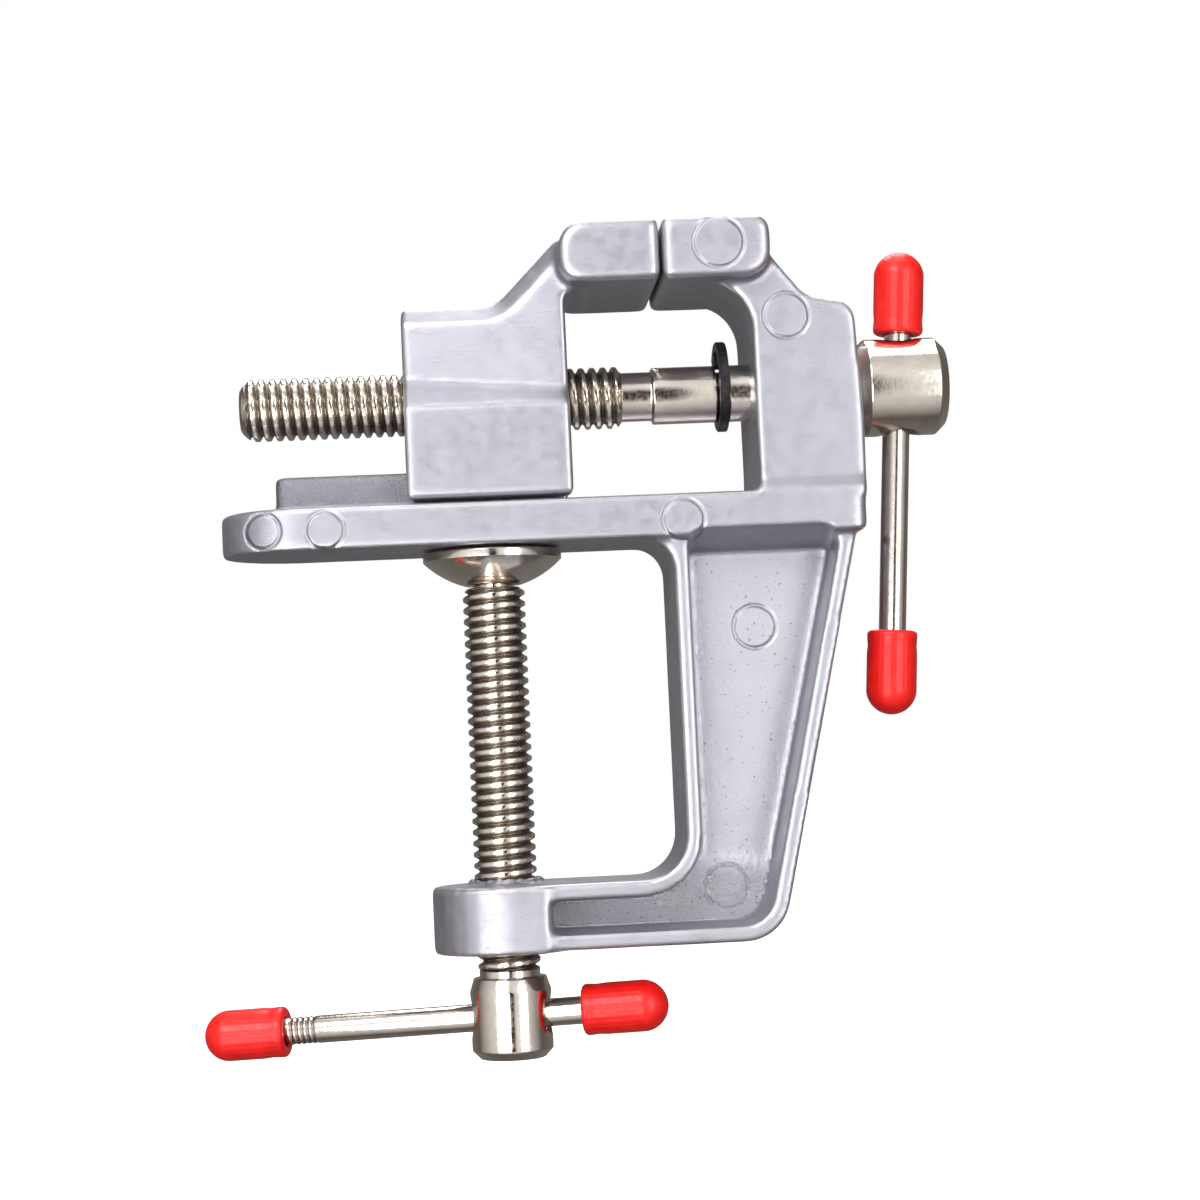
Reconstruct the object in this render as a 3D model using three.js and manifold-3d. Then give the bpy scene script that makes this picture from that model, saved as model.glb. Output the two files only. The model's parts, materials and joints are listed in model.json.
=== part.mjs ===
// A small clamp-on bench vise with an opening of 25.4 mm (1 in), for the edge of a table.
//
// Frame, in millimetres: the origin lies on the table face, which is the underside of the beam, on the
// axis of the clamp screw. +X runs along the main screw towards its handle, +Z is up. The jaws are
// closed and the clamp is wound right up.
import * as THREE from "three";
import { mergeVertices } from "three/addons/utils/BufferGeometryUtils.js";
import Module from "manifold-3d";

const wasm = await Module();
wasm.setup();

// ---- driving dimensions ----

// screws: 5/16 in thread, 18 turns to the inch
const threadRadius = 3.97;
const threadPitch = 1.411;
const threadDepth = 0.8;
const shankRadius = 3.65;
const threadSegments = 12;

// clearances
const jawGap = 0.3; // between the closed jaws, and between the pad and the table face
const runningClearance = 0.15; // radial, round a screw
const slideClearance = 0.4; // between the moving jaw and the rail or beam
const bushClearance = 0.25; // radial, between a bar and the cap that holds it
const barHoleClearance = 0.65; // radial, loose enough for the bar to lean

// beam: the flat bar that lies on the table
const beamWidth = 20;
const beamThickness = 5.4;
const beamLeft = -34.2;
const beamRight = 47.2;

// rail that guides the moving jaw
const railWidth = 10;
const railHeight = 4.4;
const railLeft = -27;

// jaws
const mainAxisZ = 19;
const jawTop = 39.9;
const headHeight = 7.8;
const headWidth = 24.4;
const fixedHeadLength = 13.7;
const movingHeadLength = 12.7;
const fixedBodyLength = 13.75;
const fixedBodyRight = beamRight + 0.4;
const fixedBodyLeft = fixedBodyRight - fixedBodyLength;
const fixedBodyWidth = beamWidth - 2;
const fixedOverhang = 11.35; // from the fixed jaw's body to where the jaws meet
const jawParting = fixedBodyLeft - fixedOverhang;
const movingOverhang = 12.1; // from the moving jaw's body to where the jaws meet
const movingBodyLength = 20.8;
const movingBodyRight = jawParting - movingOverhang;
const movingBodyLeft = movingBodyRight - movingBodyLength;
const railRight = movingBodyRight - 1; // the closed jaw hides the rail's end
const movingBodyWidth = beamWidth;
const shoulderZ = mainAxisZ - 1.7; // top of the wide lower part of the moving jaw
const neckTop = jawTop - 9.3;
const neckWidthLeft = 12;
const neckWidthRight = 15.8;

// C-shaped clamp frame under the beam
const frameWidth = beamWidth - 2;
const webThickness = 6;
const rimWidth = 2;
const postRimWidth = 2.15; // the rim on the post's right side
const throatRight = 22.5;
const armTop = -42.6;
const armHeight = 8.25;
const postRightTop = beamRight - 1.2; // at the height of the table face
const postTaper = 0.2366; // how far the post's right edge moves left for each mm down
const pocketCeiling = 0.8; // the pocket reaches this far up into the beam's side
const bossStep = 0.4; // how far the boss stands proud of the arm's faces
const bossRadius = frameWidth / 2 + bossStep;
const bossRight = 4.9; // where the boss's flat faces end on the arm
const bossDrop = 0.25; // how far the boss reaches below the arm
const collarRadius = threadRadius + 0.6;
const collarHeight = 1.1;

// main screw, along X
const mainThreadLength = 48.7;
const mainThreadRight = movingBodyRight + 7;
const mainScrewLeft = mainThreadRight - mainThreadLength;
const mainReliefRight = mainThreadRight + 3.9;
const reliefRadius = threadRadius - threadDepth - 0.02;
const grooveRadius = shankRadius - 0.85;
const ringThickness = 1.2;
const ringRadius = shankRadius + 3.05;
const grooveWidth = ringThickness + 0.5;
const screwPlay = 2.55; // how far the screw can shift along its axis before the clip stops it
const grooveLeft = fixedBodyLeft - screwPlay - grooveWidth;
const mainHeadRadius = 6.3;
const mainHeadLength = 11.5;

// clamp screw, along -Z
const clampThreadLength = 48.2;
const clampHeadRadius = 5.15;
const clampHeadLength = 10.2;
const clampNeckLength = 1.2;

// swivel pad
const padRadius = 8.85;
const padRimHeight = 1.1;
const padHeight = 4.3;
const padLipRadius = 3.6; // where the dome ends, round the screw
const swivelRadius = 2.8; // the button on the end of the clamp screw
const socketRadius = swivelRadius + 0.5;
const socketMouthRadius = swivelRadius - 0.15; // crimped in behind the button
const socketRoof = 1.6; // metal between the socket and the clamping face

// sliding bars and their caps, the same on both screws
const barRadius = 1.75;
const barLength = 56.2;
const barHoleRadius = barRadius + barHoleClearance;
const holeChamfer = 0.5;
const capWall = 1.25;
const capRadius = barRadius + bushClearance + capWall;
const capLength = 10.8;
const capEnd = 2; // plastic beyond the end of the bar
const barSpan = barLength + 2 * capEnd;
const mainBarLean = THREE.MathUtils.degToRad(4.1); // loose bars lean in their holes
const mainBarRise = 17.7; // from the screw's axis to the top of the upper cap
const clampBarLean = THREE.MathUtils.degToRad(2.3);
const clampBarTurn = THREE.MathUtils.degToRad(-11);
const clampBarReach = 20.1; // from the screw's axis to the end of the right cap

// ---- materials ----

const castAluminium = new THREE.MeshStandardMaterial({ color: 0xb4b1b8, roughness: 0.45, metalness: 0.9 });
const nickelSteel = new THREE.MeshStandardMaterial({ color: 0xd9d2c8, roughness: 0.18, metalness: 1 });
const blackSteel = new THREE.MeshStandardMaterial({ color: 0x17171a, roughness: 0.4, metalness: 0.7 });
const redPlastic = new THREE.MeshStandardMaterial({ color: 0xe3120b, roughness: 0.35, metalness: 0 });

// ---- geometry helpers ----

// A closed three.js geometry as a solid that can be joined and cut. Its points are rounded to a fine grid,
// so that faces meant to lie in one plane do.
function solid(geometry) {
  const grid = 1e4;
  const points = geometry.getAttribute("position").array.map((value) => Math.round(value * grid) / grid);
  const bare = new THREE.BufferGeometry().setAttribute("position", new THREE.BufferAttribute(points, 3));
  if (geometry.index) bare.setIndex(geometry.index);
  const merged = mergeVertices(bare, 1e-4);
  return new wasm.Manifold(
    new wasm.Mesh({
      numProp: 3,
      vertProperties: merged.getAttribute("position").array,
      triVerts: new Uint32Array(merged.index.array),
    }),
  );
}

// A named three.js mesh of a solid.
function part(name, body, material) {
  const { vertProperties, triVerts } = body.getMesh();
  const geometry = new THREE.BufferGeometry()
    .setAttribute("position", new THREE.BufferAttribute(vertProperties, 3))
    .setIndex(new THREE.BufferAttribute(triVerts, 1));
  geometry.computeVertexNormals();
  const mesh = new THREE.Mesh(geometry, material);
  mesh.name = name;
  return mesh;
}

// A closed outline through corners [x, y, radius], each rounded by its radius.
function outline(corners) {
  const shape = new THREE.Shape();
  corners.forEach(([x, y, radius = 0], i) => {
    const corner = new THREE.Vector2(x, y);
    if (!radius) {
      if (i) shape.lineTo(x, y);
      else shape.moveTo(x, y);
      return;
    }
    const before = new THREE.Vector2(...corners.at(i - 1)).sub(corner).normalize();
    const after = new THREE.Vector2(...corners[(i + 1) % corners.length]).sub(corner).normalize();
    const halfAngle = Math.acos(before.dot(after)) / 2;
    const reach = radius / Math.tan(halfAngle);
    const start = corner.clone().addScaledVector(before, reach);
    const end = corner.clone().addScaledVector(after, reach);
    const centre = before
      .clone()
      .add(after)
      .setLength(radius / Math.sin(halfAngle))
      .add(corner);
    if (i) shape.lineTo(start.x, start.y);
    else shape.moveTo(start.x, start.y);
    const angleTo = (point) => Math.atan2(point.y - centre.y, point.x - centre.x);
    shape.absarc(centre.x, centre.y, radius, angleTo(start), angleTo(end), before.cross(after) > 0);
  });
  return shape;
}

// An outline in X and Z, extruded across the vise between -width / 2 and width / 2, with edges chamfered
// by bevel.
function slabGeometry(corners, width, bevel = 0, curveSegments = 5) {
  const geometry = new THREE.ExtrudeGeometry(outline(corners), {
    depth: width - 2 * bevel,
    curveSegments,
    bevelEnabled: bevel > 0,
    bevelThickness: bevel,
    bevelSize: bevel,
    bevelOffset: -bevel,
    bevelSegments: 1,
  });
  return geometry.rotateX(Math.PI / 2).translate(0, width / 2 - bevel, 0);
}

const slab = (...sizes) => solid(slabGeometry(...sizes));

// An outline in X and Y, extruded from z = bottom to z = top.
function plan(corners, bottom, top, curveSegments = 5) {
  const options = { depth: top - bottom, curveSegments, bevelEnabled: false };
  return solid(new THREE.ExtrudeGeometry(outline(corners), options).translate(0, 0, bottom));
}

// An outline in Y and Z, extruded from x = left to x = right.
function bar(corners, left, right) {
  const options = { depth: right - left, curveSegments: 3, bevelEnabled: false };
  const geometry = new THREE.ExtrudeGeometry(outline(corners), options);
  return solid(geometry.rotateX(Math.PI / 2).rotateZ(Math.PI / 2).translate(left, 0, 0));
}

// The corners of a rectangle, each with the same radius.
function rectangle(left, right, low, high, radius = 0) {
  return [
    [left, low, radius],
    [right, low, radius],
    [right, high, radius],
    [left, high, radius],
  ];
}

// A turned solid from [radius, height] points, about the Y axis as three.js turns it.
function turned(profile, segments) {
  return new THREE.LatheGeometry(
    profile.map(([radius, height]) => new THREE.Vector2(radius, height)),
    segments,
  );
}

const alongX = (geometry) => solid(geometry.rotateZ(-Math.PI / 2));
const alongZ = (geometry) => solid(geometry.rotateX(Math.PI / 2));

// A cylinder between two heights, as a turned geometry.
function cylinder(radius, low, high, segments = 24) {
  return turned([[0, low], [radius, low], [radius, high], [0, high]], segments);
}

// A right-hand V thread from height low to height high: a turned zigzag, sheared by one pitch in each
// turn. The seam is then open by one pitch at each end, and two triangles close each of those steps.
function thread(low, high) {
  const rootRadius = threadRadius - threadDepth;
  const rows = 2 * Math.floor((high - low) / threadPitch) - 3;
  const profile = [[0, low], [rootRadius, low]];
  for (let row = 1; row <= rows; row += 1) {
    profile.push([row % 2 ? threadRadius : rootRadius, low + (row * threadPitch) / 2]);
  }
  profile.push([rootRadius, high], [0, high]);

  const geometry = turned(profile, threadSegments);
  const position = geometry.getAttribute("position");
  const vertex = (column, row) => column * profile.length + 1 + row;
  for (let column = 0; column <= threadSegments; column += 1) {
    for (let row = 1; row <= rows; row += 1) {
      const at = vertex(column, row);
      position.setY(at, position.getY(at) + (threadPitch * column) / threadSegments);
    }
  }
  const end = threadSegments;
  geometry.setIndex([
    ...geometry.index.array,
    ...[vertex(0, 0), vertex(0, 1), vertex(0, 2)],
    ...[vertex(0, 0), vertex(0, 2), vertex(0, 3)],
    ...[vertex(end, rows + 1), vertex(end, rows), vertex(end, rows - 1)],
    ...[vertex(end, rows + 1), vertex(end, rows - 1), vertex(end, rows - 2)],
  ]);
  return geometry;
}

// ---- castings ----

const beamTop = beamThickness;
const railTop = beamTop + railHeight;
const headBottom = jawTop - headHeight;
const fixedFace = jawParting + jawGap / 2;
const movingFace = jawParting - jawGap / 2;

// The block that carries one jaw face, with its upper corner and its lower corner away from the face
// rounded by the given radii.
function jawHead(faceX, backX, upperRadius, lowerRadius) {
  const faceRadius = 0.8;
  return slab(
    [
      [faceX, headBottom, faceRadius],
      [faceX, jawTop, faceRadius],
      [backX, jawTop, upperRadius],
      [backX, headBottom, lowerRadius],
    ],
    headWidth,
    0.6,
  );
}

// Beam, rail and fixed jaw above the table.
function upperFrame() {
  const half = beamWidth / 2;
  const sunk = 1; // how far joined pieces reach into each other
  const beam = plan(
    [
      [beamLeft, -half, half],
      [beamRight, -half, 1.5],
      [beamRight, half, 1.5],
      [beamLeft, half, half],
    ],
    0,
    beamTop,
    10,
  );
  const railEnd = 1.5;
  const rail = plan(
    [
      [railLeft, -railWidth / 2, railEnd],
      [railRight, -railWidth / 2, railEnd],
      [railRight, railWidth / 2, railEnd],
      [railLeft, railWidth / 2, railEnd],
    ],
    beamTop - sunk,
    railTop,
  );
  const headBack = fixedFace + fixedHeadLength;
  const body = slab(
    [
      [fixedBodyLeft, beamTop - sunk],
      [fixedBodyLeft, headBottom, 6],
      [fixedFace + sunk, headBottom],
      [fixedFace + sunk, jawTop - sunk],
      [headBack - sunk, jawTop - 3],
      [headBack + 4.4, neckTop - 0.6, 3],
      [fixedBodyRight - 0.7, neckTop - 1.8, 2.6],
      [fixedBodyRight, mainAxisZ - 5],
      [fixedBodyRight - 0.2, beamTop - sunk],
    ],
    fixedBodyWidth,
  );
  const foot = bar(
    [
      [-half, beamTop - sunk],
      [half, beamTop - sunk],
      [half, beamTop],
      [fixedBodyWidth / 2, beamTop + 1.6],
      [-fixedBodyWidth / 2, beamTop + 1.6],
      [-half, beamTop],
    ],
    fixedBodyLeft - 0.1,
    fixedBodyRight - 0.4,
  );
  const head = jawHead(fixedFace, headBack, 2, 3.4);
  const shankBore = alongX(
    cylinder(shankRadius + runningClearance, fixedBodyLeft - sunk, fixedBodyRight + sunk),
  ).translate(0, 0, mainAxisZ);
  return beam.add(rail).add(body).add(foot).add(head).subtract(shankBore);
}

// Right edge of the post at height z.
const postRight = (z) => postRightTop + z * postTaper;

// The pocket in one side of the C-frame, open at the frame's face and drafted towards the web.
function pocket(side) {
  const draft = 0.3;
  const armBottom = armTop - armHeight;
  const left = throatRight + rimWidth;
  const low = armBottom + rimWidth;
  const pocketLeft = bossRight + 0.4;
  const right = (z) => postRight(z) - postRimWidth;
  const high = pocketCeiling;
  const depth = beamWidth / 2 - webThickness / 2;
  const mouth = [
    [left, high, 2],
    [left, armTop - rimWidth, 7.4],
    [pocketLeft, armTop - rimWidth, 0.6],
    [pocketLeft, low, 0.6],
    [right(low), low, 4],
    [right(high), high, 2.5],
  ];
  const geometry = new THREE.ExtrudeGeometry(outline(mouth), {
    depth: 1,
    curveSegments: 5,
    bevelEnabled: true,
    bevelThickness: depth,
    bevelSize: draft,
    bevelOffset: -draft,
    bevelSegments: 1,
  });
  // The extrusion tapers at both ends, and only the end inside the frame cuts it.
  const cutter = solid(geometry.rotateX(Math.PI / 2).translate(0, -beamWidth / 2 + 1, 0));
  // The ceiling slopes down towards the web.
  const ceilingDrop = 2.4;
  const ceiling = bar(
    [
      [0, high - ceilingDrop * 1.25],
      [0, high + 3],
      [-beamWidth / 2, high + 3],
      [-beamWidth / 2, high],
    ],
    left - 2,
    beamRight + 1,
  );
  const cut = cutter.subtract(ceiling);
  return side < 0 ? cut : cut.mirror([0, 1, 0]);
}

// The C-shaped frame under the beam, with the boss for the clamp screw at the end of its arm.
function lowerFrame() {
  const armBottom = armTop - armHeight;
  const sunk = 3; // how far the post reaches up into the beam
  const frame = slab(
    [
      [throatRight - 8, sunk],
      [throatRight - 8, 0],
      [throatRight, 0, 4],
      [throatRight, armTop, 5.4],
      [0, armTop],
      [0, armBottom],
      [postRight(armBottom), armBottom, 5.8],
      [postRight(0), 0],
      [postRight(0), sunk],
    ],
    frameWidth,
    0,
    6,
  );
  const bossSegments = 32;
  const bossBottom = armBottom - bossDrop;
  const boss = alongZ(cylinder(bossRadius, bossBottom, armTop, bossSegments));
  const bossFlank = bar(rectangle(-bossRadius, bossRadius, bossBottom, armTop), 0, bossRight);
  const collar = alongZ(cylinder(collarRadius, armTop - 1, armTop + collarHeight));
  const bore = alongZ(cylinder(threadRadius + runningClearance, armBottom - 2, armTop + 3));
  return frame.add(boss).add(bossFlank).add(collar).subtract(bore);
}

// The post's right rims stand back from the beam's side at the top and meet the frame's face at the foot.
function rimRelief() {
  const setBack = 1.7;
  const face = beamWidth / 2;
  const wedge = bar(
    [
      [-face - 1, pocketCeiling],
      [-face + setBack, pocketCeiling],
      [-frameWidth / 2, armTop],
      [-face - 1, armTop],
    ],
    postRight(armTop) - 4,
    beamRight + 1,
  );
  return wedge.add(wedge.mirror([0, 1, 0]));
}

function frameCasting() {
  const upper = upperFrame();
  const rims = lowerFrame().subtract(rimRelief());
  return part("frame_casting", upper.add(rims).subtract(pocket(-1)).subtract(pocket(1)), castAluminium);
}

function movingJaw() {
  const bottom = beamTop + slideClearance;
  const half = movingBodyWidth / 2;
  const shoulderRise = 4.4;
  const over = 6; // how far the lower part and the neck pass the side outline that trims both
  const lower = bar(
    [
      [-half, bottom, 0.6],
      [half, bottom, 0.6],
      [half, shoulderZ],
      [half - shoulderRise, shoulderZ + shoulderRise],
      [-half + shoulderRise, shoulderZ + shoulderRise],
      [-half, shoulderZ],
    ],
    movingBodyLeft - over,
    movingBodyRight + over,
  );

  // The neck runs up and over to the head. Its upper edges are chamfered, and it widens to the right.
  const headBack = movingFace - movingHeadLength;
  const neckRight = headBack + 4;
  const neck = slabGeometry(
    [
      [movingBodyLeft - over, shoulderZ - over],
      [neckRight + over, shoulderZ - over],
      [neckRight + over, jawTop - 1.2],
      [headBack, jawTop - 1.2],
      [movingBodyLeft + 12.1, neckTop, 4],
      [movingBodyLeft - over, neckTop],
    ],
    neckWidthRight,
    2.1,
  );
  const widening = (neckWidthRight - neckWidthLeft) / (movingBodyRight - movingBodyLeft);
  const corners = neck.getAttribute("position");
  for (let i = 0; i < corners.count; i += 1) {
    const width = neckWidthRight + (corners.getX(i) - movingBodyRight) * widening;
    corners.setY(i, (corners.getY(i) * width) / neckWidthRight);
  }
  const side = slab(
    [
      [movingBodyLeft, 0],
      [movingBodyRight, 0],
      [movingBodyRight, headBottom - 0.4, 1],
      [neckRight, headBottom - 0.4],
      [neckRight, jawTop + over],
      [movingBodyLeft, jawTop + over],
    ],
    headWidth,
  );
  const body = lower.add(solid(neck)).intersect(side);

  const head = jawHead(movingFace, headBack, 3.4, 2.6);
  const channel = bar(
    rectangle(-railWidth / 2 - slideClearance, railWidth / 2 + slideClearance, 0, railTop + slideClearance),
    movingBodyLeft - 1,
    movingBodyRight + 1,
  );
  const screwBore = alongX(
    cylinder(threadRadius + runningClearance, movingBodyLeft - 1, movingBodyRight + 1),
  ).translate(0, 0, mainAxisZ);
  return part("moving_jaw", body.add(head).subtract(channel).subtract(screwBore), castAluminium);
}

// ---- screws ----

// The hole across a screw's head for its sliding bar, chamfered where it comes out of a head of the
// given radius. It runs along Y, as three.js turns it.
function crossHole(headRadius) {
  const wide = barHoleRadius + 2 * holeChamfer;
  const out = headRadius + holeChamfer;
  const knee = headRadius - holeChamfer - 0.4;
  return turned(
    [
      [0, -out],
      [wide, -out],
      [barHoleRadius, -knee],
      [barHoleRadius, knee],
      [wide, out],
      [0, out],
    ],
    20,
  );
}

const mainHeadLeft = fixedBodyRight + jawGap;
const mainBarX = mainHeadLeft + mainHeadLength / 2 - 0.2;

function mainScrew() {
  const chamfer = 1.2;
  const grooveRight = grooveLeft + grooveWidth;
  const headRight = mainHeadLeft + mainHeadLength;
  const body = alongX(
    turned(
      [
        [0, mainThreadRight - 2],
        [reliefRadius, mainThreadRight - 2],
        [reliefRadius, mainReliefRight],
        [shankRadius, mainReliefRight],
        [shankRadius, grooveLeft],
        [grooveRadius, grooveLeft],
        [grooveRadius, grooveRight],
        [shankRadius, grooveRight],
        [shankRadius, mainHeadLeft],
        [mainHeadRadius - chamfer, mainHeadLeft],
        [mainHeadRadius, mainHeadLeft + chamfer],
        [mainHeadRadius, headRight - chamfer],
        [mainHeadRadius - chamfer, headRight],
        [0, headRight],
      ],
      28,
    ),
  );
  const hole = alongZ(crossHole(mainHeadRadius)).translate(mainBarX, 0, 0);
  const screw = alongX(thread(mainScrewLeft, mainThreadRight)).add(body).subtract(hole);
  const mesh = part("main_screw", screw, nickelSteel);
  mesh.position.z = mainAxisZ;
  return mesh;
}

// The clip in the main screw's groove, open on one side so that it can be pushed on.
function retainingRing() {
  const inner = grooveRadius + 0.2;
  const mouth = 0.75; // half the angle of the opening, in radians
  const shape = new THREE.Shape();
  shape.absarc(0, 0, ringRadius, mouth, 2 * Math.PI - mouth, false);
  shape.absarc(0, 0, inner, 2 * Math.PI - mouth, mouth, true);
  const options = { depth: ringThickness, curveSegments: 14, bevelEnabled: false };
  const geometry = new THREE.ExtrudeGeometry(shape, options);
  const ring = solid(geometry.rotateY(Math.PI / 2));
  const mesh = part("retaining_ring", ring, blackSteel);
  mesh.position.set(grooveLeft + (grooveWidth - ringThickness) / 2, 0, mainAxisZ);
  return mesh;
}

const padTop = -jawGap;
const padBottom = padTop - padHeight;
const clampThreadTop = padBottom - 0.3;
const clampThreadBottom = clampThreadTop - clampThreadLength;
const clampHeadTop = clampThreadBottom - clampNeckLength;
const clampHeadBottom = clampHeadTop - clampHeadLength;
const clampBarZ = clampHeadTop - clampHeadLength / 2 + 0.2;

// The clamp screw ends in a button that turns in the pad's socket.
function clampScrew() {
  const chamfer = 1;
  const neckRadius = 3.85;
  const buttonTop = padTop - socketRoof - 0.3;
  const buttonNeck = socketMouthRadius - 0.35;
  const body = alongZ(
    turned(
      [
        [0, clampHeadBottom],
        [clampHeadRadius - chamfer, clampHeadBottom],
        [clampHeadRadius, clampHeadBottom + chamfer],
        [clampHeadRadius, clampHeadTop - 1.8],
        [clampHeadRadius - 0.5, clampHeadTop],
        [neckRadius, clampHeadTop],
        [neckRadius, clampThreadBottom],
        [threadRadius - threadDepth, clampThreadBottom + 1],
        [0, clampThreadBottom + 1],
      ],
      28,
    ),
  );
  const button = alongZ(
    turned(
      [
        [0, clampThreadTop - 1],
        [buttonNeck, clampThreadTop - 1],
        [buttonNeck, buttonTop - 1.2],
        [swivelRadius, buttonTop - 0.8],
        [swivelRadius - 0.6, buttonTop],
        [0, buttonTop],
      ],
      20,
    ),
  );
  const turnDegrees = THREE.MathUtils.radToDeg(clampBarTurn);
  const hole = alongX(crossHole(clampHeadRadius)).translate(0, 0, clampBarZ).rotate([0, 0, turnDegrees]);
  const screw = alongZ(thread(clampThreadBottom, clampThreadTop)).add(body).add(button).subtract(hole);
  return part("clamp_screw", screw, nickelSteel);
}

// The pad is a shallow dome, crimped round the screw's button.
function clampPad() {
  const socketTop = padTop - socketRoof;
  const profile = [
    [0, socketTop],
    [socketRadius, socketTop],
    [socketRadius, padBottom + 1],
    [socketMouthRadius, padBottom + 0.6],
    [socketMouthRadius, padBottom],
  ];
  const domeTop = padTop - padRimHeight;
  const domeHeight = domeTop - padBottom;
  const domeCentre = padBottom + ((padRadius ** 2 - padLipRadius ** 2) / domeHeight + domeHeight) / 2;
  const domeSteps = 5;
  for (let step = 0; step <= domeSteps; step += 1) {
    const radius = padLipRadius + ((padRadius - padLipRadius) * step) / domeSteps;
    const sphereRadius = Math.hypot(padLipRadius, domeCentre - padBottom);
    profile.push([radius, domeCentre - Math.sqrt(sphereRadius ** 2 - radius ** 2)]);
  }
  profile.push([padRadius, padTop - 0.3], [padRadius - 0.3, padTop], [0, padTop]);
  return part("clamp_pad", alongZ(turned(profile, 28)), nickelSteel);
}

// ---- sliding bars ----

// A bar with a cap on each end, along its own X axis, with the tip of the right cap at x = reach.
function handle(reach, names) {
  const group = new THREE.Group();
  const edge = 0.3;
  const right = reach - capEnd;
  const left = right - barLength;
  const rod = alongX(
    turned(
      [
        [0, left],
        [barRadius - edge, left],
        [barRadius, left + edge],
        [barRadius, right - edge],
        [barRadius - edge, right],
        [0, right],
      ],
      18,
    ),
  );
  group.add(part(names.bar, rod, nickelSteel));

  // A cap's mouth is at height 0 and its domed end at capLength.
  const hole = barRadius + bushClearance;
  const holeDepth = capLength - capEnd + 0.2;
  const profile = [
    [0, holeDepth],
    [hole, holeDepth],
    [hole, 0],
    [capRadius, 0],
  ];
  const domeSteps = 4;
  for (let step = 0; step <= domeSteps; step += 1) {
    const angle = (step / domeSteps) * (Math.PI / 2);
    profile.push([
      capRadius * Math.cos(angle),
      capLength - capRadius + capRadius * Math.sin(angle),
    ]);
  }
  const cap = alongX(turned(profile, 20));
  const rightCap = part(names.rightCap, cap, redPlastic);
  rightCap.position.x = reach - capLength;
  const leftCap = part(names.leftCap, cap, redPlastic);
  leftCap.rotation.z = Math.PI;
  leftCap.position.x = reach - barSpan + capLength;
  group.add(rightCap, leftCap);
  return group;
}

function mainHandle() {
  const names = { bar: "main_handle_bar", rightCap: "main_cap_upper", leftCap: "main_cap_lower" };
  const group = handle(mainBarRise, names);
  group.rotation.y = -Math.PI / 2 + mainBarLean;
  group.position.set(mainBarX, 0, mainAxisZ);
  return group;
}

function clampHandle() {
  const names = { bar: "clamp_handle_bar", rightCap: "clamp_cap_right", leftCap: "clamp_cap_left" };
  const group = handle(clampBarReach, names);
  group.rotation.set(0, -clampBarLean, clampBarTurn, "ZYX");
  group.position.z = clampBarZ;
  return group;
}

const vise = new THREE.Group();
vise.add(frameCasting(), movingJaw());
vise.add(mainScrew(), retainingRing(), mainHandle());
vise.add(clampScrew(), clampPad(), clampHandle());

export default vise;
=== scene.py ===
"""Looks of the bench vise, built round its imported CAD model. Lengths are in millimetres until mesh_object."""

import json
import math

import bmesh
import bpy
import numpy as np
from mathutils import Matrix, Vector, noise


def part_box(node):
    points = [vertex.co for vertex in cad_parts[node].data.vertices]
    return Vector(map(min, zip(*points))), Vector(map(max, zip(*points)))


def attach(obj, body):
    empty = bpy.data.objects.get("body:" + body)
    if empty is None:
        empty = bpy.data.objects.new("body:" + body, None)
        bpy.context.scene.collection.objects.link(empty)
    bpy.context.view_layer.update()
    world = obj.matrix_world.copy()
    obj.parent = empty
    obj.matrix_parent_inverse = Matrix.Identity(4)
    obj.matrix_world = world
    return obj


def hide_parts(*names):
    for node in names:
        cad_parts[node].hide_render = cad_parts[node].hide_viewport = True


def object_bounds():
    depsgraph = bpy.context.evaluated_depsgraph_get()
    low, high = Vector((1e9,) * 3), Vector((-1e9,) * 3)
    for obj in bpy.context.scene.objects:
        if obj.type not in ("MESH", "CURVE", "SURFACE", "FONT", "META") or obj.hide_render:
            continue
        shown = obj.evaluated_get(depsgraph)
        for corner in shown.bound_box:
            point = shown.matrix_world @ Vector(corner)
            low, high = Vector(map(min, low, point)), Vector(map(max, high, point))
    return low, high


MM = 0.001

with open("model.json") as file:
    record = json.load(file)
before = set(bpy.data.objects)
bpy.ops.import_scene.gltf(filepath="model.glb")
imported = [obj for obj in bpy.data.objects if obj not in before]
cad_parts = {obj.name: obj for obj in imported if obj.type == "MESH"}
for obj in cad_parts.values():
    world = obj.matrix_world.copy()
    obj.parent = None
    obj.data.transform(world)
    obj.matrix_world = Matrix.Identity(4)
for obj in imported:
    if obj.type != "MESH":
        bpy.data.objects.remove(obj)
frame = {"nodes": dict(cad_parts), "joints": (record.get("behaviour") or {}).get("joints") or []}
cad_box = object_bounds()
joints = {joint["name"]: joint for joint in frame["joints"]}


def box_mm(node):
    low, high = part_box(node)
    return low / MM, high / MM


# ---- materials ----


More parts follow.
